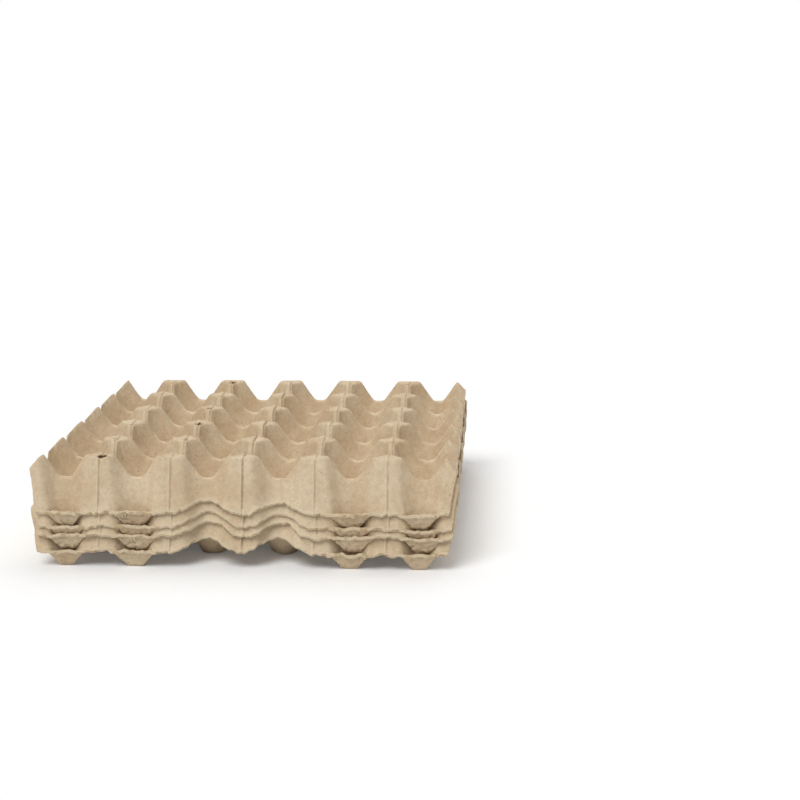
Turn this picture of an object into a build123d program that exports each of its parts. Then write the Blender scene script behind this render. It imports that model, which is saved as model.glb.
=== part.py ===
from build123d import *
from math import atan, cos, radians, sin, sqrt, tan
import os

# Stack of four nested egg trays, each one sheet of moulded paper pulp.
# Frame: millimetres, +Z up, X along the trays' long sides, origin under the middle of the stack,
# on the plane that the lowest feet stand on.

# Grid: one cup to each cell, one hollow post at each crossing of the ridges
cell_pitch = 49.0
cups_long = 6
cups_wide = 5

# Heights above the plane of the feet, and the thickness of the sheet
tray_height = 48.0
saddle_height = 31.5
rim_height = 11.5
wall = 1.8

# Cup, post and ridge
cup_floor_width = 15.0
post_top_diagonal = 18.6
ridge_width = 6.0

# Long sides: a drafted skirt, set back between the posts until it meets the ridge line
tray_width = 279.0
skirt_draft = 16.0
post_front_width = 12.6
foot_floor_width = 10.0

# Finger notches, before the middle cells of each long side
notch_cells = 2
notch_height = 20.0
notch_width = 24.0
notch_top_width = 13.0

# Short sides: the last posts slope down to a trimmed edge, and the skirts' ends lean in below it
tray_length = 290.0
wing_start = 9.8
wing_slope = 50.0
end_lean = 10.0

# Nesting: trays that sit high have slid along until a corner of the skirt stopped them
high_lift = 11.5
middle_lift = 9.5
seat_clearance = 0.02

# Worked out from the sizes above: each wall leans out by its run for 1 mm of height,
# and a sheet one wall thick measures wall times spread across
half_pitch = cell_pitch / 2
half_floor = cup_floor_width / 2
lip_y = tray_width / 2
end_x = tray_length / 2
wing_x = cups_long * half_pitch - wing_start
wing_run = tan(radians(wing_slope))
draft_run = tan(radians(skirt_draft))
draft_spread = 1 / cos(radians(skirt_draft))
side_run = (half_pitch - ridge_width / 2 - half_floor) / (saddle_height - wall)
side_spread = 1 / cos(atan(side_run))
post_edge = (cell_pitch - post_top_diagonal / 2) / sqrt(2)
corner_run = (post_edge - half_floor * sqrt(2)) / (tray_height - wall)
corner_spread = 1 / cos(atan(corner_run))
crest_height = wall + (half_pitch - half_floor) / side_run
recess_depth = lip_y - cups_wide * half_pitch - (crest_height - rim_height) * draft_run
foot_run = (cell_pitch - post_front_width - foot_floor_width) / 2 / rim_height
foot_spread = 1 / cos(atan(foot_run))
diagonal_share = tan(radians(22.5))
margin = 1.0


def centres(count):
    """Middles of a row of cells, with the row's own middle at zero."""
    return [(i - (count - 1) / 2) * cell_pitch for i in range(count)]


def mirrored(right):
    """A profile from its right half, which runs from bottom to top."""
    return Polygon(*right, *[(-x, z) for x, z in reversed(right) if x], align=None)


def cup_corner(height, spread):
    """Distance from the cup's middle to its corner wall, along both axes added."""
    floor = wall - spread
    low = 2 * (half_floor + spread * (side_spread - side_run))
    high = sqrt(2) * (post_edge + spread * corner_spread)
    return low + (high - low) * (height - floor) / (tray_height - floor)


def cup(spread):
    """Funnel of one cup, square at its floor and eight-sided above: its inside, or one wall out."""
    floor = wall - spread
    top = tray_height + margin
    low = half_floor + spread * (side_spread - side_run)
    side = half_floor + (top - wall) * side_run + spread * side_spread
    near = cup_corner(top, spread) - side
    points = [(sx * low, sy * low, floor) for sx in (-1, 1) for sy in (-1, 1)]
    points += [(sx * side, sy * near, top) for sx in (-1, 1) for sy in (-1, 1)]
    points += [(sx * near, sy * side, top) for sx in (-1, 1) for sy in (-1, 1)]
    return ConvexPolyhedron(points)


def troughs(spread):
    """Vees that lower the ridges midway between the posts, down from where two cups' walls meet."""
    crest = crest_height - spread * side_spread / side_run
    reach = cup_corner(crest, spread) - half_pitch
    floor = saddle_height - spread * draft_spread
    top = tray_height + margin
    section = mirrored([(0, floor), (reach, crest), (reach, top)])
    across = extrude(Plane.XZ * section, tray_width, both=True)
    along = extrude(Plane.YZ * section, tray_length, both=True)
    cuts = [Pos(x, 0, 0) * across for x in centres(cups_long)]
    return cuts + [Pos(0, y, 0) * along for y in centres(cups_wide)]


def recess_back(height, spread):
    """Place of the skirt between two posts, and half its width there."""
    grown = (height - rim_height) * draft_run + spread * draft_spread
    width = half_pitch - post_front_width / 2 - recess_depth + diagonal_share * grown
    return lip_y - recess_depth - grown, width


def recess(spread):
    """Drafted space between two posts, with its sides at 45 degrees to the skirt."""
    points = []
    far = lip_y + half_pitch
    for z in (rim_height, tray_height + margin):
        back, width = recess_back(z, spread)
        outer = width + far - back
        points += [(-width, back, z), (width, back, z), (outer, far, z), (-outer, far, z)]
    return ConvexPolyhedron(points)


def foot(spread):
    """Half cup below the rim, closed by the lip on its outer side."""
    floor = wall - spread
    drop = (rim_height - floor) * draft_run
    back, narrow = recess_back(rim_height, spread)
    front = lip_y - (wall - spread) * draft_spread
    low = foot_floor_width / 2 + spread * (foot_spread - foot_run)
    rim = [(narrow, back), (narrow + front - back, front)]
    base = [(low, back + drop), (low, front - drop)]
    points = [(side * x, y, rim_height) for x, y in rim for side in (-1, 1)]
    points += [(side * x, y, floor) for x, y in base for side in (-1, 1)]
    return ConvexPolyhedron(points)


def lid(spread):
    """Filled form above the rim: drafted along its long sides, with a wing sloping down to each end."""
    top = tray_height - spread
    lip = lip_y - spread * draft_spread
    shoulder = lip - (top - rim_height) * draft_run
    across = extrude(Plane.YZ * mirrored([(lip, rim_height), (shoulder, top)]), tray_length, both=True)
    crest = wing_x - spread * (1 / cos(radians(wing_slope)) - 1) / wing_run
    reach = end_x + spread
    edge = top - (reach - crest) * wing_run
    side_view = mirrored([(reach, rim_height), (reach, edge), (crest, top)])
    return across & extrude(Plane.XZ * side_view, tray_width, both=True)


def end_cuts():
    """Wedges that make the four ends of the skirts lean in under the wings."""
    edge = tray_height - (end_x - wing_x) * wing_run
    low = -margin
    lean = (edge - low) * tan(radians(end_lean))
    section = Polygon((end_x, edge), (end_x - lean, low), (end_x + lean, low), align=None)
    start = cups_wide * half_pitch
    wedge = Pos(0, lip_y + margin, 0) * extrude(Plane.XZ * section, lip_y + margin - start)
    pair = [wedge, wedge.mirror(Plane.YZ)]
    return pair + [one.mirror(Plane.XZ) for one in pair]


def notch():
    """Arch through the skirt, where fingers reach under the tray."""
    arch = mirrored([(notch_width / 2, rim_height - margin), (notch_top_width / 2, notch_height)])
    start = cups_wide * half_pitch
    return Pos(0, lip_y + margin, 0) * extrude(Plane.XZ * arch, lip_y + margin - start)


def at_cells(shape):
    """A copy of a shape in every cell of the grid."""
    return [Pos(x, y, 0) * shape for x in centres(cups_long) for y in centres(cups_wide)]


def at_sides(shape, places):
    """Copies of a shape before the given cells, on both long sides."""
    near = [Pos(x, 0, 0) * shape for x in places]
    return near + [one.mirror(Plane.XZ) for one in near]


def make_tray():
    """One moulded sheet: the filled form with its cups and feet, less the same form one wall in."""
    cells = centres(cups_long)
    footed = (cups_long - notch_cells) // 2
    feet_at = cells[:footed] + cells[-footed:]
    below_rim = Pos(0, 0, rim_height / 2) * Box(tray_length, tray_width, rim_height)
    sheet = lid(0) - troughs(0) - at_sides(recess(0), cells)
    sheet += at_cells(cup(wall) & below_rim)
    sheet += at_sides(foot(wall), feet_at)
    sheet -= at_cells(cup(0))
    sheet -= at_sides(foot(0), feet_at)
    underneath = lid(wall) - troughs(wall) - at_sides(recess(wall), cells) - at_cells(cup(wall))
    sheet -= underneath
    sheet -= at_sides(notch(), cells[footed:-footed])
    sheet -= end_cuts()
    return sheet.solids()[0]


def slide(lift):
    """How far a tray that sits this high moves along before the corners of the skirts meet."""
    return sqrt(2) * (lift * draft_run - (wall + seat_clearance) * draft_spread)


# A tray pressed home rests on the lower one's skirts
seated_lift = (wall + seat_clearance) / sin(radians(skirt_draft))
to_middle = slide(high_lift) / 2
places = {
    "bottom_tray": (-to_middle, 0),
    "lower_middle_tray": (to_middle, high_lift),
    "upper_middle_tray": (to_middle, high_lift + seated_lift),
    "top_tray": (to_middle - slide(middle_lift), high_lift + seated_lift + middle_lift),
}

tray = make_tray()
os.makedirs("parts", exist_ok=True)
for name, (x, z) in places.items():
    export_step(Pos(x, 0, z) * tray, f"parts/{name}.step")
    print(name, "at", round(x, 3), round(z, 3))
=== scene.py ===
# %% [markdown]
# # A stack of moulded pulp egg trays
# The solids give the size, the place and the nesting of four trays. This notebook dresses them:
# each tray becomes one thin sheet with soft edges, seams and a torn rim, in matte grey-brown pulp.
# A tray's lengths are in millimetres in its own frame, and turn to metres when its mesh is made.
# The finish, the camera, the floor and the lights are in metres.

# %% Load the solids
import bpy
import math
import numpy as np
from mathutils import Matrix, Vector


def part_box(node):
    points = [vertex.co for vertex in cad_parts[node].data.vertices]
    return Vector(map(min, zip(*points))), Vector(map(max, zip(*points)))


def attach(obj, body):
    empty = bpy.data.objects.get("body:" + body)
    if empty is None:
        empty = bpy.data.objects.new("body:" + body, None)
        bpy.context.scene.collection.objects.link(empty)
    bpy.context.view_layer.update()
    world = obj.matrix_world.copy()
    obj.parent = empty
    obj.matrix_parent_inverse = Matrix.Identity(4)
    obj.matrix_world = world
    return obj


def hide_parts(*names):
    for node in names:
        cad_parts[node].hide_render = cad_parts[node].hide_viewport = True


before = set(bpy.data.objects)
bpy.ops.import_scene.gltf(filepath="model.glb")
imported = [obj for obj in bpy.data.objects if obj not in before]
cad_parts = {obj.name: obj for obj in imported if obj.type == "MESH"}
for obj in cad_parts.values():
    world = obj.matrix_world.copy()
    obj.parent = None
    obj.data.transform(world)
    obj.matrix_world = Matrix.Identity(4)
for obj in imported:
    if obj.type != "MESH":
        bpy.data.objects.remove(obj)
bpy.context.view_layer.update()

# %% [markdown]
# ## Where each tray stands
# The trays sit at different heights, because the upper ones have slid along a little and catch on
# the skirts below. Their places could be copied here as numbers. The solid's own box gives a
# tray's middle and the level of its feet instead, so both models always agree.

# %% Middles and levels of the trays
def tray_place(name):
    """Middle of a tray along X and the level of its feet, in millimetres."""
    low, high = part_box(name)
    return 500 * (low.x + high.x), 1000 * low.z


trays = ["bottom_tray", "lower_middle_tray", "upper_middle_tray", "top_tray"]
places = {name: tray_place(name) for name in trays}
print({name: [round(v, 2) for v in place] for name, place in places.items()})

# %% [markdown]
# ## The camera
# The eye stands 1.1 m in front of the stack's middle, 17 cm to its right and 34 cm above the table.
# A 69 mm lens on a 36 mm sensor keeps the near and far posts nearly the same size. The camera
# could be aimed at a point, but three small turns also keep its slight roll.

# %% Camera
def aim_camera():
    """A camera turned about the upright, then dipped, then rolled."""
    eye = bpy.data.objects.new("camera", bpy.data.cameras.new("camera"))
    bpy.context.scene.collection.objects.link(eye)
    eye.data.lens = 68.94
    eye.data.sensor_width = 36
    stand = (0.17252, -1.11608, 0.33563)
    turn, dip, roll = math.radians(3.79), math.radians(12.52), math.radians(-0.45)
    eye.matrix_world = (
        Matrix.Translation(stand)
        @ Matrix.Rotation(turn, 4, "Z")
        @ Matrix.Rotation(math.pi / 2 - dip, 4, "X")
        @ Matrix.Rotation(roll, 4, "Z")
    )
    bpy.context.scene.camera = eye
    return eye


eye = aim_camera()
print("camera looks along", [round(v, 3) for v in -eye.matrix_world.col[2].xyz])

# %% [markdown]
# ## The tray as a height map
# A pulp tray is sucked onto a mould and lifted straight off, so no wall overhangs: at each place
# in plan the sheet has one height. It could be built from boxes and cones that are cut from each
# other, but one function of x and y draws the whole tray and keeps every edge soft. It takes the
# higher or the lower of simple slopes and blends them where they meet, because wet fibre never
# makes a sharp edge. The same function, moved in by one wall (the shift), draws the underside.

# %% Sizes of the tray
pitch = 49.0  # from one post to the next
half = pitch / 2
cells_long, cells_wide = 6, 5
wall = 1.75
tray_top = 48.0
top_level = 47.5  # of the posts, before the sheet's unevenness
saddle_level = 31.6  # of a ridge, midway between two posts
rim_level = 11.5
lip_y = 139.5  # outermost edge of the long sides
lip_flare = 1.2
lip_spare = 0.25  # room outside the flare for torn fibre
valley_depth = 9.44  # from the lip in to the skirt between two posts
post_front = 10.0  # half the width of a post's front at the lip
valley_half = half - post_front - valley_depth
end_x = 145.0
ridge_y = cells_wide * pitch / 2  # the last ridge, where the skirts begin
draft = math.tan(math.radians(16))
draft_spread = 1.04  # level thickness of a drafted wall, for each millimetre of wall
diagonal = 1.414  # the set-back faces' sides stand at 45 degrees
lean = math.tan(math.radians(10))
print("cells", round(2 * end_x / pitch, 2), "by", 2 * ridge_y / pitch)

# %% Blending of slopes
def lower(a, b, blend):
    """The lower of two heights, rounded where they come within the blend of each other."""
    share = np.clip(0.5 + 0.5 * (b - a) / blend, 0, 1)
    return b * (1 - share) + a * share - blend * share * (1 - share)


def higher(a, b, blend):
    """The higher of two heights, rounded in the same way."""
    return -lower(-a, -b, blend)


def step(value, start, end):
    """Goes smoothly from 0 at start to 1 at end."""
    t = np.clip((value - start) / (end - start), 0, 1)
    return t * t * (3 - 2 * t)


print("blend of 10 and 11 over 4:", lower(10.0, 11.0, 4.0))

# %% Unevenness
def ripple(x, y, length, seed):
    """Uneven waves about so many millimetres long, mostly within plus and minus one."""
    random = np.random.default_rng(seed)
    total = 0
    for _ in range(8):
        angle, phase = random.uniform(0, 2 * math.pi, 2)
        k = 2 * math.pi / (length * random.uniform(0.7, 1.6))
        total = total + np.sin(k * (x * math.cos(angle) + y * math.sin(angle)) + phase)
    return total / 2.4


print("ripple at 0, 10 and 20 mm:", [round(float(ripple(x, 0, 26, 5)), 2) for x in (0, 10, 20)])

# %% [markdown]
# ## Cups, ridges and posts
# A cup is a funnel, round at its floor and closer to eight-sided near the top. Where four cups
# meet, a hollow post keeps a flat diamond top. Between two posts the ridge sags to a saddle.
# Each could be a mesh of its own, joined to its neighbours. As heights they meet by themselves:
# the funnel gives way to the ridges' flanks, and a flat cap cuts everything off at the posts.

# %% Ridge
saddle_half = 4.0  # half the length of a saddle's flat
ridge_slope = 1.40
ridge_spread = 1.72  # upright thickness of the slope, for each millimetre of wall


def ridge_line(along, shift):
    """Height of a ridge, from the saddle in a cell's middle up to the posts."""
    flat = saddle_level - shift
    slope = saddle_level + (along - saddle_half) * ridge_slope - shift * ridge_spread
    return lower(higher(flat, slope, blend=1.8), top_level - shift, blend=0.9)


print("ridge:", [round(float(ridge_line(np.float64(a), 0)), 1) for a in (0, 8, 12, 16, half)])

# %% Cup
floor_radius = 8.4
low_run, low_spread = 0.45, 2.44  # outward run and upright thickness of the lower wall
high_run, high_spread = 0.376, 2.84  # the same for the steeper wall above it
bend_out, bend_level = 13.4, 31.5  # where the two walls would meet
flatness = 0.85  # how nearly eight-sided the cup becomes
axis_reach = 1.0147  # what the eight-sided distance makes of 1 mm along an axis


def funnel(u, v, shift):
    """Inside of a cup, or its outside when moved by one wall."""
    a, b = np.abs(u), np.abs(v)
    circle = np.hypot(a, b)
    eight = (a**8 + b**8 + ((a + b) ** 8 + np.abs(a - b) ** 8) / 16) ** 0.125
    mixed = circle + (eight / axis_reach - circle) * flatness * step(circle, 12, 26)
    out = mixed - floor_radius
    low_wall = wall + out / low_run - shift * low_spread
    high_wall = bend_level + (out - bend_out) / high_run - shift * high_spread
    bed = wall - shift + 0.25 * step(circle, 0, 8)
    return higher(higher(low_wall, high_wall, blend=2.0), bed, blend=4.0)


inside = [round(float(funnel(np.float64(u), 0.0, 0)), 1) for u in (0, 12, 18)]
print("cup, from its middle out:", inside)

# %% One cell
flank_slope = 4.5
ridge_half_x, ridge_half_y = 2.5, 2.3  # half the width of the ridges' tops
flank_spread = 0.9  # level move of a flank, for each millimetre of wall


def cells_height(u, v, shift):
    """Height of the sheet inside one cell, ridges and quarter posts included."""
    a, b = np.abs(u), np.abs(v)
    line_a = ridge_line(b, shift)
    line_b = ridge_line(a, shift)
    flank_a = line_a + (a - half + ridge_half_x - shift * flank_spread) * flank_slope
    flank_b = line_b + (b - half + ridge_half_y - shift * flank_spread) * flank_slope
    body = higher(funnel(u, v, shift), higher(flank_a, flank_b, blend=1.0), blend=2.0)
    cap = lower(line_a, line_b, blend=1.0)
    return lower(body, cap, blend=1.3)


spots = [cells_height(np.float64(u), v, 0) for u, v in ((0, 0), (half, 0), (half, half))]
print("cup floor, saddle, post:", [round(float(spot), 2) for spot in spots])

# %% [markdown]
# ## Skirts, feet and notches
# The long sides end in a drafted skirt. It is set back between the posts, where the sheet dips
# below the rim and makes a foot, a half cup closed by the lip. The two middle cells of each side
# have no foot: their skirt is cut away in an arch, so fingers can reach under the tray. Skirts
# could hang from the sheet as strips of their own, but they are drafted too, so they are heights
# like the rest and nest like the rest.

# %% Set-back face
def valley(u, y, shift):
    """Set-back face between two posts, with its slanted sides."""
    back = lip_y - valley_depth - shift * draft_spread - y
    side = (np.abs(u) - valley_half + back) / diagonal + shift * 0.1
    return rim_level + higher(back, side, blend=3.0) / draft


print("valley floor meets the rim at y =", lip_y - valley_depth)

# %% Foot
ledge = 2.7  # width of the lip that closes a foot
foot_reach = 8.0  # the foot widens over this distance outwards
foot_half, foot_widening = 3.4, 0.42  # half its floor's width at the skirt, and growth outwards
foot_slack = 1.8  # how far the pocket reaches past the set-back face at the rim


def foot_height(u, y, shift, lip):
    """Pocket below the rim between two posts."""
    out = y - (lip_y - valley_depth)
    width = valley_half + np.clip(out, 0, foot_reach) + foot_slack
    narrow = foot_half + foot_widening * np.clip(out, 0, foot_reach)
    back = rim_level - (out + shift * draft_spread) / draft
    front = rim_level - (lip_y - ledge + shift * 0.72 - y) / draft
    side = wall + (np.abs(u) - narrow - shift * 0.9) * (rim_level - wall) / (width - narrow)
    bed = wall - shift
    pocket = higher(higher(back, front, blend=1.5), higher(side, bed, blend=2.5), blend=2.5)
    return lower(pocket, lip - shift * 0.1, blend=0.8)


print("foot bed:", round(float(foot_height(0.0, np.float64(134.0), 0, rim_level)), 2))

# %% Long sides
def skirt_height(x, y, shift, footed, lip):
    """Height of the sheet outside the last ridge."""
    local = (x + cells_long * half) % pitch - half
    u = np.where(np.abs(x) > cells_long * half, np.sign(x) * half, local)
    post = rim_level + (lip_y - lip_flare - lip_spare - shift * draft_spread - y) / draft
    skirt = lower(post, valley(u, y, shift), blend=6.0)
    if footed is not None:
        skirt = np.where(footed, higher(skirt, foot_height(u, y, shift, lip), blend=0.8), skirt)
    return lower(skirt, ridge_line(np.abs(u), shift), blend=1.4)


front = skirt_height(np.float64(pitch), 130.0, 0, None, rim_level)
print("post front at y = 130:", round(float(front), 2))

# %% [markdown]
# ## Seams and unevenness
# The mould is made in strips, and each joint leaves a bead beside a groove, across the tray and
# down the posts' fronts. Pulp also dries unevenly. A bump in the finish could show both, but from
# the side their outline counts, so they move the sheet itself: the seam pushes it outwards, and
# the plan is bent a little before the height is read.

# %% The whole height map
seam_reach = 2.3 * pitch  # no seam beyond the outer posts
bead_width, groove_width, groove_place = 0.5, 0.45, 1.15
seam_height = 0.6
middle_seam, other_seams = 1.3, 0.85  # how strong they are
wing_start, wing_slope, wing_spread = 136.6, 1.19, 1.55  # where the tray slopes down to its ends


def seam(x, out):
    """Outward push of the moulding seams, which run across the tray and stop short of the rim."""
    away = (x + half) % pitch - half
    strength = np.where(np.abs(x) < half, middle_seam, other_seams)
    strength = strength * np.where(np.abs(x) < seam_reach, 1.0, 0.0)
    strength = strength * (1 - step(out, lip_y - 2.0, lip_y - 1.4))
    bead = np.exp(-((away / bead_width) ** 2))
    groove = np.exp(-(((away - groove_place) / groove_width) ** 2))
    return strength * seam_height * (bead - groove)


def sheet_height(x, y, shift=0.0, footed=None, lip=rim_level):
    """Height of the top face, or of the underside when shifted by the wall."""
    bent_x = x + 0.35 * ripple(x, y, 60, 3)
    bent_y = y + 0.25 * ripple(x, y, 70, 4) * (1 - step(np.abs(y), ridge_y - 20, ridge_y))
    out = np.abs(y)
    push = seam(x, out) if shift == 0 else 0
    u = (bent_x + cells_long * half) % pitch - half
    v = (bent_y + cells_wide * half) % pitch - half
    inside = cells_height(u, v, shift) + push
    outside = skirt_height(bent_x, out - push, shift, footed, lip)
    share = step(out, ridge_y - 0.4, ridge_y + 0.4)
    height = inside * (1 - share) + outside * share
    wing = tray_top + 1.5 - (np.abs(x) - wing_start) * wing_slope - shift * wing_spread
    height = lower(height, wing, blend=2.0)
    return height + 0.18 * ripple(x, y, 26, 5)


print("post top:", round(float(sheet_height(np.float64(49.0), np.float64(24.5))), 2))

# %% [markdown]
# ## The rim
# Wet sheets are trimmed roughly, so the rim wanders by a millimetre and shows torn fibre. It could
# be cut with a noisy knife shape, but that leaves slivers. Instead the rim's height is set for
# each place along a side, and the skirt is followed outwards until it comes down to that height.
# Each tray has habits of its own: how high its notches rise, how lumpy its feet are, how far its
# ends lean in, and a seed for the rest.

# %% Habits of each tray
habits = {
    "bottom_tray": {"rise": 7.6, "lumps": 0.15, "lean": 1.0, "seed": 20},
    "lower_middle_tray": {"rise": 7.4, "lumps": 0.55, "lean": 0.7, "seed": 21},
    "upper_middle_tray": {"rise": 7.4, "lumps": 0.50, "lean": 0.8, "seed": 22},
    "top_tray": {"rise": 5.4, "lumps": 0.55, "lean": 1.0, "seed": 23},
}
print("notches rise by", [habit["rise"] for habit in habits.values()])

# %% Rim
trace_step = 0.06


def rim_line(x, shift, habit, seed):
    """Wanted height of the rim along a long side, with the notches' arches."""
    ragged = 0.36 * ripple(x, 0, 9, seed) + 0.34 * ripple(x, 0, 3.6, seed + 1)
    wander = 0.45 * ripple(x, 0, 70, seed + 2)
    arch = 0.5 + 0.5 * np.cos(2 * math.pi * (np.abs(x) - half) / pitch)
    arch = habit["rise"] * np.where(np.abs(x) < pitch, arch, 0) ** 0.8
    return rim_level + 0.35 + wander + ragged + arch - 0.9 * shift


def follow_down(x, shift, rim):
    """How far out the skirt comes down to the rim, for each x."""
    outs = np.arange(ridge_y, lip_y + lip_flare, trace_step)
    heights = sheet_height(x[:, None], outs[None, :] + 0 * x[:, None], shift)
    passed = heights <= rim[:, None]
    first = np.where(passed.any(axis=1), passed.argmax(axis=1), len(outs) - 1)
    return outs[first]


def skirt_edge(x, shift, rim):
    """How far out each column of a skirt goes, and 1 where a foot's lip closes it."""
    footed = np.abs(x) > pitch
    cell = (x + cells_long * half) % pitch - half
    corner = half - post_front
    closed = np.where(footed, 1 - step(np.abs(cell), corner + 0.2, corner + 3.0), 0)
    lip_edge = lip_y - np.maximum(rim - rim_level, 0) * draft
    edge = follow_down(x, shift, rim) * (1 - closed) + lip_edge * closed
    return np.minimum(edge, lip_y - lip_spare), closed, footed


edge, closed, footed = skirt_edge(np.array([0.0, half, 3 * half]), 0, np.full(3, rim_level))
print("post, notch and foot end at y =", edge.round(2), "closed", closed)

# %% A skirt's columns
traced_points = 400  # along a column, to measure its length
crowding = 1.5  # how strongly the points gather near the rim
rim_fade = 2.0  # distance over which flare and torn fibre fade


def even_columns(x_line, shift, rim, edge, footed, rows):
    """Points down each column, closer together near the rim, and their distance to it."""
    y = ridge_y + (edge[:, None] - ridge_y) * np.linspace(0, 1, traced_points)[None, :]
    z = sheet_height(x_line[:, None] + 0 * y, y, shift, footed[:, None], rim[:, None])
    lengths = np.cumsum(np.hypot(np.diff(y), np.diff(z)), axis=1)
    run = np.concatenate([np.zeros((len(x_line), 1)), lengths], axis=1)
    wanted = run[:, -1:] * (1 - (1 - np.linspace(0, 1, rows + 1)) ** crowding)[None, :]
    y = np.array([np.interp(w, r, one) for w, r, one in zip(wanted, run, y)])
    x = np.repeat(x_line[:, None], rows + 1, axis=1)
    z = sheet_height(x, y, shift, footed[:, None], rim[:, None])
    return x, y, z, run[:, -1:] - wanted


def skirt_grid(x_line, side, shift, rows, habit):
    """Points of one skirt, from the ridge down to the rim, and how near the rim each one is."""
    seed = habit["seed"] + 10 * side
    rim = rim_line(x_line, shift, habit, seed)
    edge, closed, footed = skirt_edge(x_line, shift, rim)
    x, y, z, to_rim = even_columns(x_line, shift, rim, edge, footed, rows)
    near = np.exp(-to_rim / rim_fade)
    y = y + lip_flare * near * (1 - closed[:, None])
    if shift > 0:
        face = closed[:, None] * step(y, lip_y - 7, lip_y - 5) * step(rim_level - z, 0.5, 2.5)
        lumps = 0.10 * ripple(x, z, 9, seed + 4) + habit["lumps"] * ripple(x, z, 3.6, seed + 5)
        y = y + face * lumps
    y = np.minimum(y, lip_y - lip_spare)
    fallen = z[:, :1] - z
    pull = np.clip((np.abs(x) - 2 * pitch) / (end_x - 2 * pitch), 0, 1) ** 2
    torn = pull**8 * step(fallen, 0, 5) * np.maximum(0.4 + 0.4 * ripple(z, 0, 6, seed + 6), 0)
    x = x - np.sign(x) * (pull * np.clip(fallen, 0, 40) * lean * habit["lean"] + torn)
    return np.stack([x, side * y, z, near], axis=2)


test = skirt_grid(np.linspace(-140, 140, 9), -1, 0, 8, habits["top_tray"])
print("skirt grid", test.shape, "lowest", round(float(test[..., 2].min()), 2))

# %% [markdown]
# ## Rings that follow the form
# A plain square grid would cut across the edges of the cups and show steps there, unless it were
# very fine everywhere. So each cell is meshed in rings, like a web: they start round at the cup's
# floor, crowd together at the edge of the ridge and end on the cell's square border, where the
# next cell's web takes over.

# %% Steps along a cell's border and along its radius
coarse_side = [0, 1.6, 4.2, 8.0, 12.5, 18.0, 24.5]
fine_side = [0, 0.6, 1.3, 2.3, 3.6, 5.2, 7.3, 9.9, 13.5, 18.5, 24.5]
skirt_side = [
    0, 0.45, 0.9, 1.4, 2.1, 3.0, 4.2, 5.5, 6.8, 8.1,
    9.4, 10.7, 12.0, 13.4, 14.8, 16.4, 18.2, 20.2, 22.3, 24.5,
]
fine_rings = {
    "bed": [3.5, 6.6, 8.2, 9.6],  # radii on the cup's floor
    "wall": 7,  # rings up the wall
    "edge": [-1.5, -0.8, -0.25],  # distances to the edge of the ridge
    "top": [0.12, 0.3, 0.52, 0.72, 0.87, 1.0],  # shares of the way to the border
}
coarse_rings = {"bed": [6.6, 9.4], "wall": 4, "edge": [-0.8], "top": [0.25, 0.62, 1.0]}


def full_side(steps):
    """Border positions from one corner to the other, as dense at both ends."""
    return np.array([s - half for s in steps] + [half - s for s in reversed(steps[:-1])])


print(len(full_side(fine_side)) - 1, "steps along a fine border")

# %% [markdown]
# ## Cells at the short ends
# The short sides are cut straight through the last posts, a little roughly. The cut could be made
# with a knife shape afterwards. Instead the outer half of each end cell is drawn in before the
# heights are read, so its border already lies on the cut.

# %% A cell's border
last_x = (cells_long - 1) * half  # middle of the last cell along X
last_y = (cells_wide - 1) * half


def trim(y):
    """How far the rough cut of the short sides falls inside the tray's full length."""
    return np.maximum(0.35 + 0.35 * ripple(y, 0, 7, 31), 0) * (1 - step(np.abs(y), 105, 118))


def draw_in(cell_x, along, cut):
    """Draws the outer half of an end cell in, by the share of it that the cut leaves."""
    if cell_x == 0:
        return np.where(along < 0, along * cut, along)
    if cell_x == cells_long - 1:
        return np.where(along > 0, along * cut, along)
    return along


def border(cell_x, cell_y, steps):
    """Points round a cell's border, anticlockwise from its lower left corner."""
    plain = full_side(steps)
    dense = full_side(skirt_side)
    low = dense if cell_y == 0 else plain
    high = dense if cell_y == cells_wide - 1 else plain
    points = [(p, -half) for p in low[:-1]] + [(half, p) for p in plain[:-1]]
    points += [(p, half) for p in high[:0:-1]] + [(-half, p) for p in plain[:0:-1]]
    points = np.array(points)
    cut = (end_x - last_x - trim(points[:, 1] + (cell_y * pitch - last_y))) / half
    points[:, 0] = draw_in(cell_x, points[:, 0], cut)
    return points


print("a corner cell's border has", len(border(0, 0, fine_side)), "points")

# %% A cell's web
crease_drop = 0.4  # the wall is taken to end this far below the ridge
crease_room = 0.6  # least distance from a cup's edge to the cell's border


def crease_radius(aim, reach, shift):
    """Radius at which the cup's wall comes up to the ridge, for each direction."""
    far = np.linspace(0.35, 1, 120)[None, :] * reach[:, None]
    u, v = aim[:, :1] * far, aim[:, 1:] * far
    cap = np.minimum(ridge_line(np.abs(u), shift), ridge_line(np.abs(v), shift))
    meets = funnel(u, v, shift) >= cap - crease_drop
    first = far[np.arange(len(far)), meets.argmax(axis=1)]
    crease = np.where(meets.any(axis=1), first, reach - crease_room)
    return np.minimum(crease, reach - crease_room)


def web(cell_x, cell_y, steps, rings, shift):
    """Plan positions of a cell's rings, from its middle to its border."""
    ends = border(cell_x, cell_y, steps)
    reach = np.hypot(ends[:, 0], ends[:, 1])
    aim = ends / reach[:, None]
    crease = crease_radius(aim, reach, shift)
    radii = [np.full(len(reach), r) for r in rings["bed"]]
    start, stop = rings["bed"][-1], crease + rings["edge"][0]
    radii += [start + (stop - start) * k / rings["wall"] for k in range(1, rings["wall"])]
    radii += [crease + e for e in rings["edge"]]
    radii += [crease + (reach - crease) * f for f in rings["top"]]
    centre = np.array([cell_x * pitch - last_x, cell_y * pitch - last_y])
    return [centre + aim * r[:, None] for r in radii], centre


print("rings in a fine cell:", len(web(2, 2, fine_side, fine_rings, 0)[0]))

# %% [markdown]
# ## From webs to one face
# Top and underside are one sheet each. Neighbouring webs and the skirts could be kept as patches
# that only touch, but light shows such joints. They share their border points, so points at the
# same place are merged.

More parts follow.
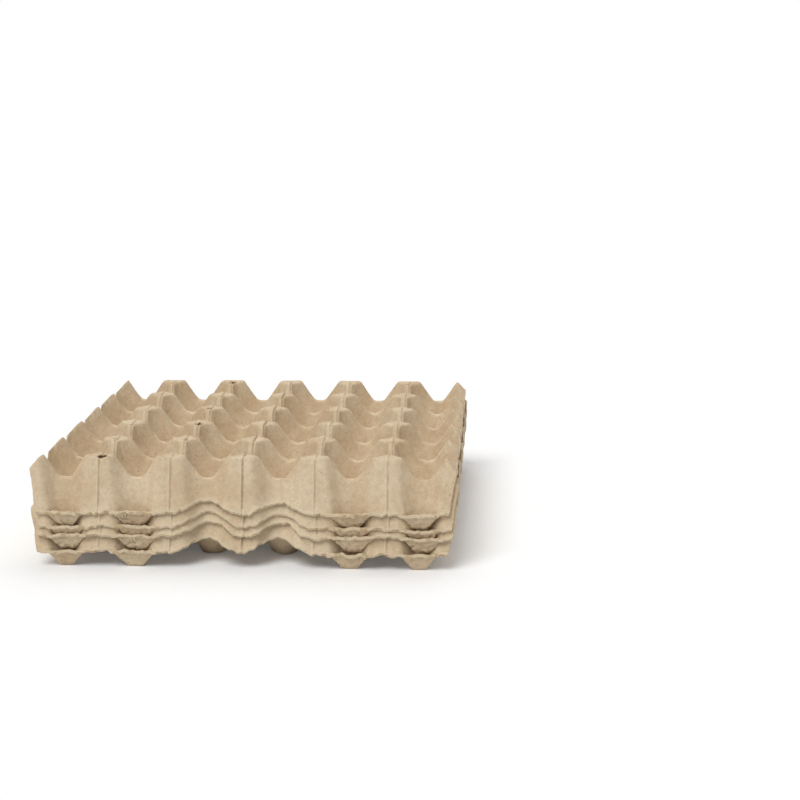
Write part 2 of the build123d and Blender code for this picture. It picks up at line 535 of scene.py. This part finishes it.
# %% Faces of a cell and of a skirt
def cell_faces(start, n, rounds):
    """A fan round a cell's middle, then bands of faces between its rings of n points."""
    ids = [start + 1 + k * n + np.arange(n) for k in range(rounds)]
    faces = []
    for i in range(n):
        j = (i + 1) % n
        faces.append((start, ids[0][i], ids[0][j]))
        for k in range(rounds - 1):
            faces.append((ids[k][i], ids[k + 1][i], ids[k + 1][j], ids[k][j]))
    return faces


def skirt_faces(start, columns, rows, side):
    """Faces of a skirt's grid, turned the same way on both sides of the tray."""
    ids = start + np.arange(columns * (rows + 1)).reshape(columns, rows + 1)
    faces = []
    for i in range(columns - 1):
        for k in range(rows):
            quad = (ids[i, k], ids[i, k + 1], ids[i + 1, k + 1], ids[i + 1, k])
            faces.append(quad if side < 0 else quad[::-1])
    return faces


print("2 rings of 8 points make", len(cell_faces(0, 8, 2)), "faces")

# %% One face of the sheet
per_millimetre = 200  # points closer in plan than 0.005 mm count as one


def skirt_line():
    """Places of a skirt's columns along X, the same as on the border of the cells behind it."""
    line = []
    for cell_x in range(cells_long):
        local = draw_in(cell_x, full_side(skirt_side), (end_x - last_x) / half)
        line += list(cell_x * pitch - last_x + (local if cell_x == cells_long - 1 else local[:-1]))
    return np.array(line)


def merge(points, faces):
    """Keeps one point for each place in plan, and drops the faces that close up."""
    keys = np.round(points[:, :2] * per_millimetre).astype(int)
    _, first, same = np.unique(keys, axis=0, return_index=True, return_inverse=True)
    same = same.ravel()
    merged = [tuple(same[list(face)]) for face in faces]
    return points[first], [face for face in merged if len(set(face)) == len(face)]


def skin(steps, rings, shift, rows, habit):
    """Points and faces of the top side or the underside of a tray."""
    points, faces, count = [], [], 0
    for cell_x in range(cells_long):
        for cell_y in range(cells_wide):
            rounds, centre = web(cell_x, cell_y, steps, rings, shift)
            flat = np.concatenate([centre[None, :]] + rounds)
            z = sheet_height(flat[:, 0], flat[:, 1], shift)
            points.append(np.column_stack([flat, z, 0 * z]))
            faces += cell_faces(count, len(rounds[0]), len(rounds))
            count += len(flat)
    line = skirt_line()
    for side in (-1, 1):
        grid = skirt_grid(line, side, shift, rows, habit)
        grid[:, 0, 1] = side * ridge_y
        grid[:, 0, 2] = sheet_height(line, side * ridge_y + 0 * line, shift)
        points.append(grid.reshape(-1, 4))
        faces += skirt_faces(count, len(line), rows, side)
        count += len(points[-1])
    return merge(np.concatenate(points), faces)


print("a skirt has", len(skirt_line()), "columns")

# %% [markdown]
# ## The torn edge
# A pulp sheet's edge is torn fibre, not a clean cut. It could be left open, as nobody sees into a
# sheet this thin, but then it has no thickness from the side. The open edge of each face is where
# a face has no neighbour. Both open edges are joined there by a narrow band of uneven points.

# %% The open edge of a face
def edge_loop(points, faces):
    """Points on the open edge in order round the tray, their directions, and the edge's length."""
    count = {}
    for face in faces:
        for a, b in zip(face, face[1:] + face[:1]):
            key = (min(a, b), max(a, b))
            count[key] = count.get(key, 0) + 1
    open_edges = [key for key, times in count.items() if times == 1]
    ids = np.array(sorted({i for key in open_edges for i in key}))
    turn = np.arctan2(points[ids, 1], points[ids, 0])
    order = np.argsort(turn)
    return ids[order], turn[order], len(open_edges)


square = np.array([(-1, -1), (1, -1), (1, 1), (-1, 1)])
print("open edge of a square:", edge_loop(square, [(0, 1, 2, 3)])[0])

# %% The band between two open edges
def join(inner, inner_turn, outer, outer_turn):
    """Triangles between two loops with different numbers of points."""
    faces = []
    i = j = 0
    n, m = len(inner), len(outer)
    while i < n or j < m:
        next_i = inner_turn[i + 1] if i + 1 < n else inner_turn[0] + 2 * math.pi
        next_j = outer_turn[j + 1] if j + 1 < m else outer_turn[0] + 2 * math.pi
        if j >= m or (i < n and next_i <= next_j):
            faces.append((inner[i % n], inner[(i + 1) % n], outer[j % m]))
            i += 1
        else:
            faces.append((inner[i % n], outer[(j + 1) % m], outer[j % m]))
            j += 1
    return faces


def torn_band(top_edge, under_edge, seed):
    """Points of torn fibre between the two faces, one for each point of the upper edge."""
    random = np.random.default_rng(seed)
    gaps = [np.hypot(*(under_edge[:, :2] - point[:2]).T) for point in top_edge]
    band = 0.5 * (top_edge + np.array([under_edge[np.argmin(gap)] for gap in gaps]))
    away = top_edge[:, :2] / np.hypot(*top_edge[:, :2].T)[:, None]
    band[:, :2] += away * random.uniform(-0.2, 0.45, (len(band), 1))
    band[:, 2] += random.uniform(-0.4, 0.3, len(band))
    band[:, 0] = np.clip(band[:, 0], -end_x, end_x)
    band[:, 1] = np.clip(band[:, 1], -lip_y, lip_y)
    return band


print("loops of 3 and 2 points make", len(join([0, 1, 2], [0, 2, 4], [3, 4], [1, 3])), "triangles")

# %% [markdown]
# ## Worn posts
# Handling has pushed in some of the top tray's posts, and a few are worn through. The holes could
# be cut out, but they are shallow and only shade lies behind them, so each mark is only an oval
# dent: a middle, a length, a width and a depth, and the share of painted shade that darkens the
# pulp there, for the shade inside a hole or a dent.

# %% Marks on the posts
# dark is the share of painted shade: the shade inside a hole or a dent, painted into the pulp
post_marks = [
    {"at": (-96.2, -122.6), "size": (7.0, 9.6), "depth": 2.2, "dark": 1.0},
    {"at": (-102.6, -122.4), "size": (4.8, 6.0), "depth": 0.8, "dark": 0.12},
    {"at": (-48.4, -26.5), "size": (5.6, 9.0), "depth": 2.6, "dark": 0.95},
    {"at": (-48.0, 120.5), "size": (5.6, 8.0), "depth": 2.4, "dark": 0.9},
    {"at": (-50.0, 23.0), "size": (4.4, 7.0), "depth": 1.4, "dark": 0.6},
    {"at": (-48.5, -75.0), "size": (3.6, 6.0), "depth": 1.0, "dark": 0.4},
    {"at": (-98.5, -75.5), "size": (3.4, 6.0), "depth": 0.9, "dark": 0.35},
    {"at": (-52.5, -124.0), "size": (5.0, 5.6), "depth": 0.9, "dark": 0.12},
    {"at": (-45.6, -123.0), "size": (4.0, 5.0), "depth": 0.6, "dark": 0.12},
]


def dent(x, y, mark):
    """How deep a mark pushes the sheet in."""
    (mid_x, mid_y), (length, width) = mark["at"], mark["size"]
    reach = np.hypot((x - mid_x) * 2 / length, (y - mid_y) * 2 / width)
    return mark["depth"] * np.exp(-(reach**4))


print(len(post_marks), "marks, the deepest", max(mark["depth"] for mark in post_marks), "mm")

# %% [markdown]
# ## Building a tray
# Both faces and the band become one mesh, which stands in for the solid tray. The finish needs to
# know where torn fibre shows. It could guess that from the height, but three numbers stored with
# the points are surer: how near the rim is, how pebbly the face is, and the place in the tray's
# own frame, from which the finish finds the seams and the corners of the posts.

# %% Closing the sheet
top_rows, under_rows = 40, 30  # points down a skirt's columns
top_side, under_side, torn_side = 0, 1, 2


def closed_sheet(name, steps, rings, marks):
    """Points and faces of a whole tray, and which side of the sheet each point is on."""
    habit = habits[name]
    top, top_faces = skin(steps, rings, 0.0, top_rows, habit)
    under, under_faces = skin(coarse_side, coarse_rings, wall, under_rows, habit)
    for mark in marks:
        top[:, 2] -= dent(top[:, 0], top[:, 1], mark)
    top_ring, top_turn, top_open = edge_loop(top, top_faces)
    under_ring, under_turn, under_open = edge_loop(under, under_faces)
    print(name, "open edge", len(top_ring), top_open, len(under_ring), under_open)
    band = torn_band(top[top_ring], under[under_ring], habit["seed"])
    first = len(top)
    band_ids = first + len(under) + np.arange(len(band))
    faces = top_faces + [tuple(i + first for i in face[::-1]) for face in under_faces]
    for i in range(len(band)):
        j = (i + 1) % len(band)
        faces.append((top_ring[i], band_ids[i], band_ids[j], top_ring[j]))
    faces += join(band_ids, top_turn, under_ring + first, under_turn)
    points = np.concatenate([top, under, band])
    points[:, 2] = np.clip(points[:, 2], 0, tray_top)
    sides = np.repeat([top_side, under_side, torn_side], [len(top), len(under), len(band)])
    return points, faces, sides


print("columns of", top_rows, "and", under_rows, "steps")

# %% Where fibre is torn and pebbly
foot_face_y = 132.0  # the feet's outer faces lie beyond this


def torn_share(points, sides):
    """How near the rim or the cut of a short side each point is, from 0 to 1."""
    cut = np.exp(np.abs(points[:, 0]) - end_x)
    cut = np.where(np.abs(points[:, 1]) < ridge_y, cut, 0)
    return np.where(sides == torn_side, 1, np.maximum(points[:, 3], cut))


def pebbly_share(points, sides):
    """1 on the outer faces of the feet, which are rough."""
    outside = (sides == under_side) & (np.abs(points[:, 1]) > foot_face_y)
    return np.where(outside & (points[:, 2] < rim_level), 1.0, 0.0)


sample = np.array([[145.0, 0, 20, 0], [20, -135, 5, 0]])
sides = np.array([top_side, under_side])
print("torn", torn_share(sample, sides), "pebbly", pebbly_share(sample, sides))

# %% One tray
smooth_below = math.radians(55)  # sharper folds than this keep their edge


def build_tray(name, steps, rings, marks):
    """A tray as one mesh that stands in for the solid."""
    points, faces, sides = closed_sheet(name, steps, rings, marks)
    middle, level = places[name]
    standing = points[:, :3] + np.array([middle, 0, level])
    mesh = bpy.data.meshes.new(name + "_sheet")
    mesh.from_pydata((standing / 1000).tolist(), [], [tuple(int(i) for i in f) for f in faces])
    mesh.polygons.foreach_set("use_smooth", [True] * len(mesh.polygons))
    mesh.set_sharp_from_angle(angle=smooth_below)
    stored = {"rim": torn_share(points, sides), "pebbly": pebbly_share(points, sides)}
    for label, values in stored.items():
        mesh.attributes.new(label, "FLOAT", "POINT").data.foreach_set("value", values)
    place = mesh.attributes.new("place", "FLOAT_VECTOR", "POINT")
    place.data.foreach_set("vector", (points[:, :3] / 1000).ravel())
    piece = bpy.data.objects.new(name + "_sheet", mesh)
    bpy.context.scene.collection.objects.link(piece)
    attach(piece, "root")
    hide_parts(name)
    print(piece.name, sum(len(p.vertices) - 2 for p in mesh.polygons), "triangles")
    return piece


sheets = []
for name in trays:
    finest = name == "top_tray"
    steps, rings = (fine_side, fine_rings) if finest else (coarse_side, coarse_rings)
    sheets.append(build_tray(name, steps, rings, post_marks if finest else []))

# %% [markdown]
# ## Moulded pulp
# The real stuff is recycled paper fibre, dried from a slurry. It has no gloss at all, a warm
# grey-brown colour with soft blotches, short pale and dark fibres, and a fine pebbly grain.
# It could be painted as pictures, but patterns of real size need no unwrapping and stay sharp.
# The finish reads a few fields first, such as how near a row of posts is. Then each feature of
# the pulp is a layer of colour, laid where one or more of these fields are in the right range.

# %% Colour and node helpers
def colour(hex_code):
    """Linear colour from an sRGB hex value."""
    parts = [int(hex_code[i:i + 2], 16) / 255 for i in (0, 2, 4)]
    linear = [p / 12.92 if p <= 0.04045 else ((p + 0.055) / 1.055) ** 2.4 for p in parts]
    return (*linear, 1.0)


def add(tree, kind, inputs=None, **settings):
    """Adds one node with its settings, and links or sets its inputs."""
    made = tree.nodes.new(kind)
    for name, value in settings.items():
        setattr(made, name, value)
    for socket, value in (inputs or {}).items():
        if isinstance(value, bpy.types.NodeSocket):
            tree.links.new(value, made.inputs[socket])
        else:
            made.inputs[socket].default_value = value
    return made


print("pulp", [round(c, 3) for c in colour("CFB898")])

# %% [markdown]
# ## Fibre patterns
# Pulp is uneven at several sizes at once: blotches, lumps, mottling and grain. One cloud pattern
# at several widths gives them all. Pale and dark scraps of paper lie scattered through it, each
# in a random cell of about 6 mm, and a thin winding line makes long hairs of fibre.

# %% Patterns of the pulp
cloud_patterns = {  # width in millimetres, detail and winding
    "blotch": (24, 3.0, 0.0),
    "patch": (14, 1.0, 0.0),
    "streak": (9, 2.0, 1.6),
    "lumps": (5.5, 3.0, 0.0),
    "mottle": (3.2, 4.0, 0.0),
    "grain": (1.3, 3.0, 0.0),
}
scrap_spacing, pit_spacing = 0.0062, 0.0030  # metres


def fibre_fields(tree):
    """Fields for clouds, scraps, hairs and pits, all in the object's own space."""
    spot = add(tree, "ShaderNodeTexCoord").outputs["Object"]
    fields = {}
    for label, (width, detail, winding) in cloud_patterns.items():
        cloud = {"Vector": spot, "Scale": 1000 / width, "Detail": detail}
        cloud.update({"Roughness": 0.6, "Distortion": winding})
        fields[label] = add(tree, "ShaderNodeTexNoise", cloud).outputs["Fac"]
    hair = add(tree, "ShaderNodeMath", {0: fields["streak"], 1: 0.5, 2: 0.008}, operation="COMPARE")
    fields["hair"] = hair.outputs[0]
    scrap = add(tree, "ShaderNodeTexVoronoi", {"Vector": spot, "Scale": 1 / scrap_spacing})
    pick = add(tree, "ShaderNodeSeparateColor", {"Color": scrap.outputs["Color"]})
    fields["from_scrap"] = scrap.outputs["Distance"]
    fields["dark_pick"], fields["pale_pick"] = pick.outputs["Red"], pick.outputs["Green"]
    pit = {"Vector": spot, "Scale": 1 / pit_spacing}
    fields["pits"] = add(tree, "ShaderNodeTexVoronoi", pit, feature="SMOOTH_F1").outputs["Distance"]
    return fields


print("cloud patterns:", ", ".join(cloud_patterns))

# %% [markdown]
# ## Places on the tray
# Painted shade darkens the seams' grooves, a painted highlight lightens their beads, and the pulp
# tears at the posts' corners. Those places could be painted one by one. Measured from the rows of
# posts they all come from a few distances, in metres: to the nearest seam, to the groove beside
# it, and to the edge of a post's diamond top.

# %% Fields of place
seamed_reach = 0.113  # half the length of the tray that has seams
diamond_reach = 0.0105  # from a post's middle to a corner of its top


def place_fields(tree, fields):
    """Adds the stored fields and the distances to rows, seams and post tops."""
    place = add(tree, "ShaderNodeAttribute", attribute_name="place").outputs["Vector"]
    split = add(tree, "ShaderNodeSeparateXYZ", {"Vector": place}).outputs
    fields.update(place=place, height=split["Z"])
    for label in ("rim", "pebbly"):
        fields[label] = add(tree, "ShaderNodeAttribute", attribute_name=label).outputs["Fac"]
    rows = {}
    for axis, offset in (("X", 0.0), ("Y", half / 1000)):
        moved = add(tree, "ShaderNodeMath", {0: split[axis], 1: offset}, operation="ADD").outputs[0]
        span = {0: moved, 1: half / 1000, 2: -half / 1000}
        rows[axis] = add(tree, "ShaderNodeMath", span, operation="WRAP").outputs[0]
    past = {0: rows["X"], 1: -groove_place / 1000}
    groove = add(tree, "ShaderNodeMath", past, operation="ADD").outputs[0]
    for label, value in (
        ("from_row_x", rows["X"]),
        ("from_row_y", rows["Y"]),
        ("from_groove", groove),
        ("from_middle", split["X"]),
    ):
        fields[label] = add(tree, "ShaderNodeMath", {0: value}, operation="ABSOLUTE").outputs[0]
    within = {0: split["X"], 1: 0.0, 2: seamed_reach}
    fields["seamed"] = add(tree, "ShaderNodeMath", within, operation="COMPARE").outputs[0]


def mixed_fields(tree, fields):
    """Adds the fields that are made wavy by the mottling."""
    pair = {0: fields["from_row_x"], 1: fields["from_row_y"]}
    fields["from_side"] = add(tree, "ShaderNodeMath", pair, operation="MINIMUM").outputs[0]
    both = add(tree, "ShaderNodeMath", pair, operation="ADD").outputs[0]
    wave = {0: fields["mottle"], 1: 0.0035, 2: both}
    wavy = add(tree, "ShaderNodeMath", wave, operation="MULTIPLY_ADD").outputs[0]
    past = add(tree, "ShaderNodeMath", {0: wavy, 1: diamond_reach}, operation="SUBTRACT").outputs[0]
    fields["from_diamond"] = add(tree, "ShaderNodeMath", {0: past}, operation="ABSOLUTE").outputs[0]
    fray = {0: fields["mottle"], 1: 0.5, 2: fields["rim"]}
    fields["fray"] = add(tree, "ShaderNodeMath", fray, operation="MULTIPLY_ADD").outputs[0]


print("seams within", seamed_reach, "m of the middle")

# %% [markdown]
# ## Layers of colour
# Each layer has a colour and the ranges that bring it out. A range names a field, the values
# where it starts and ends, and the share of colour at both. Ranges of one layer are multiplied,
# so the layer shows only where all of them allow it. Separate code for each feature would do the
# same in many more lines.

# %% Layers
colour_layers = {
    "hairs of fibre": ("8E7453", [("hair", 0, 1, 0, 1), ("lumps", 0.5, 0.62, 0, 0.35)]),
    "pale scraps": (
        "DCCDB2", [("from_scrap", 0.075, 0.045, 0, 1), ("pale_pick", 0.7, 0.72, 0, 0.6)]
    ),
    "dark scraps": ("8A6C48", [("from_scrap", 0.075, 0.045, 0, 1), ("dark_pick", 0.6, 0.62, 0, 1)]),
    # painted shade: darkens the seams' grooves, where shade falls beside the beads
    "painted shade in the grooves": (
        "7B5D3A",
        [
            ("from_groove", 0.0007, 0.0002, 0, 0.5),
            ("seamed", 0, 1, 0, 1),
            ("lumps", 0.35, 0.6, 0.25, 1.0),
            ("from_middle", 0.005, 0.02, 1.0, 0.55),
            ("rim", 0.3, 0.1, 0, 1),
        ],
    ),
    # painted highlight: lightens the seams' raised beads, where light catches them
    "painted highlight on the beads": ("DFD0B5", [("from_row_x", 0.0007, 0.0002, 0, 0.45), ("seamed", 0, 1, 0, 1)]),
    "torn post corners": (
        "86633C",
        [
            ("from_diamond", 0.0006, 0.0001, 0, 1),
            ("from_side", 0.0042, 0.0022, 0, 1),
            ("patch", 0.5, 0.6, 0, 0.7),
            ("height", 0.0445, 0.0465, 0, 1),
        ],
    ),
    "frayed rim": ("DACBAF", [("fray", 0.5, 1.1, 0, 0.55)]),
    "browned rim": ("A58450", [("rim", 0.75, 0.95, 0, 1), ("lumps", 0.52, 0.6, 0, 0.5)]),
}


def product_of(tree, fields, ranges):
    """Smooth steps of the named fields, multiplied with each other."""
    share = 1.0
    for label, start, end, low, high in ranges:
        reach = {"Value": fields[label], "From Min": start, "From Max": end}
        reach.update({"To Min": low, "To Max": high})
        eased = add(tree, "ShaderNodeMapRange", reach, interpolation_type="SMOOTHSTEP")
        both = {0: share, 1: eased.outputs["Result"]}
        share = add(tree, "ShaderNodeMath", both, operation="MULTIPLY").outputs[0]
    return share


print(len(colour_layers), "layers:", ", ".join(colour_layers))

# %% Colour of the pulp
def pulp_colour(tree, fields):
    """Two browns in soft blotches, shaded by the grain, with all layers laid over them."""
    blotch = product_of(tree, fields, [("blotch", 0.35, 0.65, 0, 1)])
    browns = {"Fac": blotch, "Color1": colour("CFB898"), "Color2": colour("DAC6A8")}
    tone = add(tree, "ShaderNodeMixRGB", browns).outputs["Color"]
    shade = [("mottle", 0.3, 0.7, 0.93, 1.05), ("grain", 0.3, 0.7, 0.95, 1.04)]
    shaded = {"Fac": 1.0, "Color1": tone, "Color2": product_of(tree, fields, shade)}
    tone = add(tree, "ShaderNodeMixRGB", shaded, blend_type="MULTIPLY").outputs["Color"]
    for hex_code, ranges in colour_layers.values():
        share = product_of(tree, fields, ranges)
        laid = {"Fac": share, "Color1": tone, "Color2": colour(hex_code)}
        tone = add(tree, "ShaderNodeMixRGB", laid).outputs["Color"]
    return tone


def painted_hole_shade(tree, fields, tone, marks):
    """Painted shade in the ovals where posts are worn through or pushed in, with uneven edges."""
    for mark in marks:
        (mid_x, mid_y), (length, width) = mark["at"], mark["size"]
        moved = {0: fields["place"], 1: (mid_x / 1000, mid_y / 1000, 0)}
        moved = add(tree, "ShaderNodeVectorMath", moved, operation="SUBTRACT").outputs[0]
        scaled = {0: moved, 1: (2000 / length, 2000 / width, 0)}
        scaled = add(tree, "ShaderNodeVectorMath", scaled, operation="MULTIPLY").outputs[0]
        reach = add(tree, "ShaderNodeVectorMath", {0: scaled}, operation="LENGTH").outputs["Value"]
        reach = {0: fields["mottle"], 1: 0.5, 2: reach}
        reach = add(tree, "ShaderNodeMath", reach, operation="MULTIPLY_ADD").outputs[0]
        share = product_of(tree, {"reach": reach}, [("reach", 1.3, 1.1, 0, mark["dark"])])
        # painted shade: this dark brown stands in for the shade inside the holes and dents
        laid = {"Fac": share, "Color1": tone, "Color2": colour("47341F")}
        tone = add(tree, "ShaderNodeMixRGB", laid).outputs["Color"]
    return tone


print("dark marks:", sum(mark["dark"] > 0.2 for mark in post_marks))

# %% [markdown]
# ## Relief of the fibre
# The mesh holds all that counts in outline. Lumps, mottling and grain are a tenth of a millimetre
# or so, and as real points they would need millions, so they only bend the light. The outer faces
# of the feet are pitted too.

# %% Relief
def relief(tree, fields):
    """Bumps of several sizes, one over the other."""
    scaled = {0: fields["pebbly"], 1: 0.8}
    pitted = add(tree, "ShaderNodeMath", scaled, operation="MULTIPLY").outputs[0]
    below = {}
    for label, strength, depth in (
        ("lumps", 0.35, 0.0012),
        ("mottle", 0.45, 0.0007),
        ("pits", pitted, 0.0018),
        ("grain", 0.5, 0.0004),
    ):
        bump = {"Height": fields[label], "Strength": strength, "Distance": depth, **below}
        below = {"Normal": add(tree, "ShaderNodeBump", bump).outputs["Normal"]}
    return below["Normal"]


def pulp(name, marks):
    """Matte recycled pulp, torn at post corners, painted shade in grooves and worn posts, painted
    highlight on beads.
    """
    finish = bpy.data.materials.new(name)
    finish.use_nodes = True
    tree = finish.node_tree
    tree.nodes.clear()
    fields = fibre_fields(tree)
    place_fields(tree, fields)
    mixed_fields(tree, fields)
    tone = painted_hole_shade(tree, fields, pulp_colour(tree, fields), marks)
    matte = {"Base Color": tone, "Roughness": 0.95, "Specular IOR Level": 0.2}
    matte["Normal"] = relief(tree, fields)
    shader = add(tree, "ShaderNodeBsdfPrincipled", matte)
    add(tree, "ShaderNodeOutputMaterial", {"Surface": shader.outputs[0]})
    return finish


plain_pulp = pulp("moulded_paper_pulp", [])
worn_pulp_painted_shade = pulp("moulded_paper_pulp_worn_painted_shade", [mark for mark in post_marks if mark["dark"] > 0.2])
for sheet in sheets:
    sheet.data.materials.append(worn_pulp_painted_shade if sheet.name.startswith("top") else plain_pulp)
print("finish with", len(worn_pulp_painted_shade.node_tree.nodes), "nodes")

# %% [markdown]
# ## Floor
# The trays stand on a plain white table. A curved backdrop could hide the table's far edge, but
# to the camera table and sky are the same plain white, so the edge doesn't show. The table gives
# off a faint light that only the camera sees, which keeps it white with the trays' shadow on it.

# %% Floor
floor_half = 4.0  # metres
floor_grey, floor_glow = 0.93, 0.08


def white_floor():
    """A wide white table top."""
    mesh = bpy.data.meshes.new("floor")
    corners = [(-1, -1), (1, -1), (1, 1), (-1, 1)]
    corners = [(x * floor_half, y * floor_half, 0) for x, y in corners]
    mesh.from_pydata(corners, [], [(0, 1, 2, 3)])
    floor = bpy.data.objects.new("floor", mesh)
    bpy.context.scene.collection.objects.link(floor)
    white = bpy.data.materials.new("white_table")
    white.use_nodes = True
    tree = white.node_tree
    tree.nodes.clear()
    grey = (floor_grey, floor_grey, floor_grey, 1)
    matte = add(tree, "ShaderNodeBsdfDiffuse", {"Color": grey})
    ray = add(tree, "ShaderNodeLightPath")
    seen = {0: ray.outputs["Is Camera Ray"], 1: floor_glow}
    seen = add(tree, "ShaderNodeMath", seen, operation="MULTIPLY").outputs[0]
    glow = add(tree, "ShaderNodeEmission", {"Color": (1, 1, 1, 1), "Strength": seen})
    both = add(tree, "ShaderNodeAddShader", {0: matte.outputs[0], 1: glow.outputs[0]})
    add(tree, "ShaderNodeOutputMaterial", {"Surface": both.outputs[0]})
    mesh.materials.append(white)
    return floor


floor = white_floor()
print("floor of", 2 * floor_half, "by", 2 * floor_half, "metres")

# %% [markdown]
# ## Light
# Soft daylight comes from above, in front and a little from the left, and shadows are pale. Large
# lit panels would do it too, but two wide suns light every tray alike and don't depend on how far
# the stack reaches. The sky is white where it is seen and weak where it lights the trays.

# %% Suns
def soft_sun(name, toward, strength, spread):
    """Even light from one direction, as soft as a big sheet of cloth."""
    lamp = bpy.data.objects.new(name, bpy.data.lights.new(name, "SUN"))
    bpy.context.scene.collection.objects.link(lamp)
    lamp.data.energy = strength
    lamp.data.angle = math.radians(spread)
    lamp.rotation_euler = Vector(toward).to_track_quat("Z", "Y").to_euler()
    return lamp


key = soft_sun("key", toward=(-0.42, -0.85, 1.4), strength=1.9, spread=36)
overhead = soft_sun("overhead", toward=(0.1, 0.6, 1.0), strength=0.92, spread=55)
print("suns of", round(key.data.energy, 2), "and", round(overhead.data.energy, 2))

# %% Sky
sky_light = 0.25


def white_sky():
    """A world that looks white, and lights the trays with a quarter of that."""
    world = bpy.data.worlds.new("studio")
    bpy.context.scene.world = world
    world.use_nodes = True
    tree = world.node_tree
    tree.nodes.clear()
    ray = add(tree, "ShaderNodeLightPath").outputs
    seen = ray["Is Camera Ray"]
    for kind in ("Is Glossy Ray", "Is Transmission Ray"):
        seen = add(tree, "ShaderNodeMath", {0: seen, 1: ray[kind]}, operation="MAXIMUM").outputs[0]
    level = {"Value": seen, "To Min": sky_light, "To Max": 1.0}
    level = add(tree, "ShaderNodeMapRange", level).outputs["Result"]
    sky = add(tree, "ShaderNodeBackground", {"Color": (1, 1, 1, 1), "Strength": level})
    add(tree, "ShaderNodeOutputWorld", {"Surface": sky.outputs[0]})


white_sky()
bpy.context.scene.view_settings.view_transform = "Standard"
print("sky lights with", sky_light)
